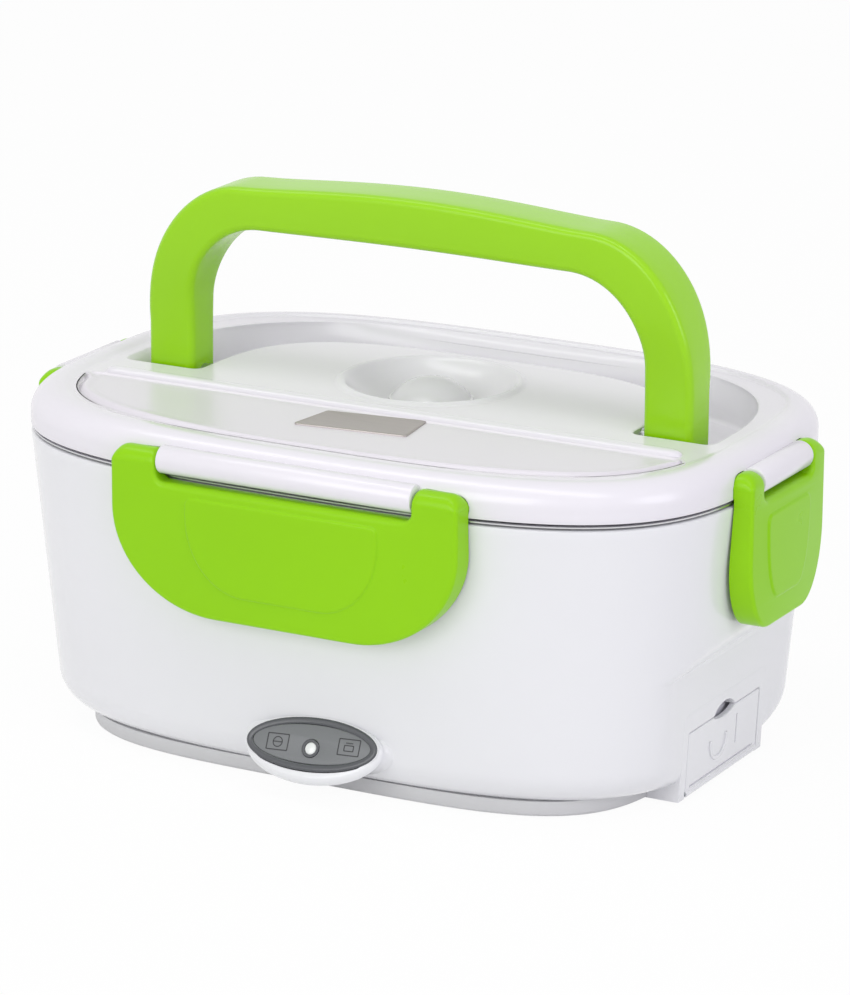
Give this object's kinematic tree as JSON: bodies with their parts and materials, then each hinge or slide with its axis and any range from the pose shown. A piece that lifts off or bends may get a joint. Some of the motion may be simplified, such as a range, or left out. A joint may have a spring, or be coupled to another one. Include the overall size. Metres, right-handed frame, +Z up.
{
  "type": "electric lunch box",
  "caption": "Portable electric lunch box with a heated white casing, a steel food container, a latched lid with a steam vent and spoon compartment, and a folding green carry handle.",
  "frame": {"origin": "centre of the footprint of the whole box, on the surface that its rubber feet stand on", "axes": "+X to the end with the power inlet, +Y to the back (the lamp panel is at -Y), +Z up"},
  "size_m": [0.238, 0.17, 0.1611],
  "materials": {
    "casing_white": "glossy moulded polypropylene",
    "lid_white": "glossy moulded polypropylene",
    "basin_grey": "satin moulded polypropylene",
    "base_grey": "satin moulded plastic",
    "foot_rubber": "matt rubber",
    "screw_steel": "zinc-plated steel",
    "heater_aluminium": "satin aluminium",
    "phenolic_dark": "moulded phenolic",
    "fuse_sleeve": "woven glass sleeve",
    "wire_brown": "wire insulation",
    "wire_blue": "wire insulation",
    "wire_red": "wire insulation",
    "inlet_white": "moulded plastic",
    "pin_brass": "plain brass",
    "bezel_dark": "semi-gloss moulded plastic",
    "panel_grey": "satin printed overlay",
    "lens_milky": "milky lens",
    "board_green": "circuit board",
    "tray_steel": "satin stainless steel",
    "gasket_silicone": "translucent silicone",
    "handle_green": "glossy moulded plastic",
    "latch_green": "glossy moulded plastic",
    "vent_white": "glossy moulded plastic",
    "cover_clear": "milky clear moulded plastic",
    "plate_satin": "bare satin foil plate",
    "spoon_white": "glossy moulded plastic"
  },
  "bodies": {
    "base": {"outer_casing": "casing_white", "heating_basin": "basin_grey", "bottom_cover": "base_grey", "rubber_feet": "foot_rubber", "case_screws": "screw_steel", "heater_plate": "heater_aluminium", "heating_element": "heater_aluminium", "element_clamp": "screw_steel", "clamp_screws": "screw_steel", "thermostat": "phenolic_dark", "thermal_fuse": "fuse_sleeve", "wire_live": "wire_brown", "wire_neutral": "wire_blue", "wire_lamp": "wire_red", "inlet_housing": "inlet_white", "inlet_pins": "pin_brass", "door_pin": "screw_steel", "lamp_bezel": "bezel_dark", "lamp_panel": "panel_grey", "lamp_lens": "lens_milky", "lamp_board": "board_green"},
    "inlet_door": {"inlet_door": "casing_white"},
    "container": {"food_container": "tray_steel"},
    "tray": {"side_tray": "tray_steel"},
    "lid": {"lid_shell": "lid_white", "lid_gasket": "gasket_silicone", "handle_pins": "screw_steel", "latch_pins": "screw_steel"},
    "handle": {"handle": "handle_green"},
    "latch_front": {"latch_front": "latch_green"},
    "latch_back": {"latch_back": "latch_green"},
    "latch_left": {"latch_left": "latch_green"},
    "latch_right": {"latch_right": "latch_green"},
    "vent": {"vent_plug": "vent_white", "vent_seal": "gasket_silicone"},
    "spoon_cover": {"spoon_cover": "cover_clear", "name_plate": "plate_satin"},
    "spoon": {"spoon": "spoon_white"}
  },
  "joints": [
    {"name": "lid_lift", "type": "slide", "parent": "base", "child": "lid", "axis": [0, 0, 1], "range_m": [0, 0.16]},
    {"name": "container_lift", "type": "slide", "parent": "base", "child": "container", "axis": [0, 0, 1], "range_m": [0, 0.08]},
    {"name": "tray_lift", "type": "slide", "parent": "container", "child": "tray", "axis": [0, 0, 1], "range_m": [0, 0.05]},
    {"name": "handle_fold", "type": "hinge", "parent": "lid", "child": "handle", "pos_m": [0, 0, 0.098], "axis": [-1, 0, 0], "range_deg": [0, 90]},
    {"name": "latch_front_open", "type": "hinge", "parent": "lid", "child": "latch_front", "pos_m": [0, -0.0811, 0.0945], "axis": [-1, 0, 0], "range_deg": [0, 115]},
    {"name": "latch_back_open", "type": "hinge", "parent": "lid", "child": "latch_back", "pos_m": [0, 0.0811, 0.0945], "axis": [1, 0, 0], "range_deg": [0, 115]},
    {"name": "latch_left_open", "type": "hinge", "parent": "lid", "child": "latch_left", "pos_m": [-0.1151, 0, 0.0945], "axis": [0, 1, 0], "range_deg": [0, 115]},
    {"name": "latch_right_open", "type": "hinge", "parent": "lid", "child": "latch_right", "pos_m": [0.1151, 0, 0.0945], "axis": [0, -1, 0], "range_deg": [0, 115]},
    {"name": "vent_lift", "type": "slide", "parent": "lid", "child": "vent", "axis": [0, 0, 1], "range_m": [0, 0.012]},
    {"name": "spoon_cover_lift", "type": "slide", "parent": "lid", "child": "spoon_cover", "axis": [0, 0, 1], "range_m": [0, 0.06]},
    {"name": "spoon_lift", "type": "slide", "parent": "lid", "child": "spoon", "axis": [0, 0, 1], "range_m": [0, 0.03]},
    {"name": "inlet_door_open", "type": "hinge", "parent": "base", "child": "inlet_door", "pos_m": [0.1, -0.003, 0.002], "axis": [0, 1, 0], "range_deg": [0, 90]}
  ],
  "couplings": [
    {"joint": "container_lift", "follows": "lid_lift", "ratio": 0.5},
    {"joint": "tray_lift", "follows": "lid_lift", "ratio": 0.3},
    {"joint": "spoon_lift", "follows": "spoon_cover_lift", "ratio": 0.5}
  ]
}
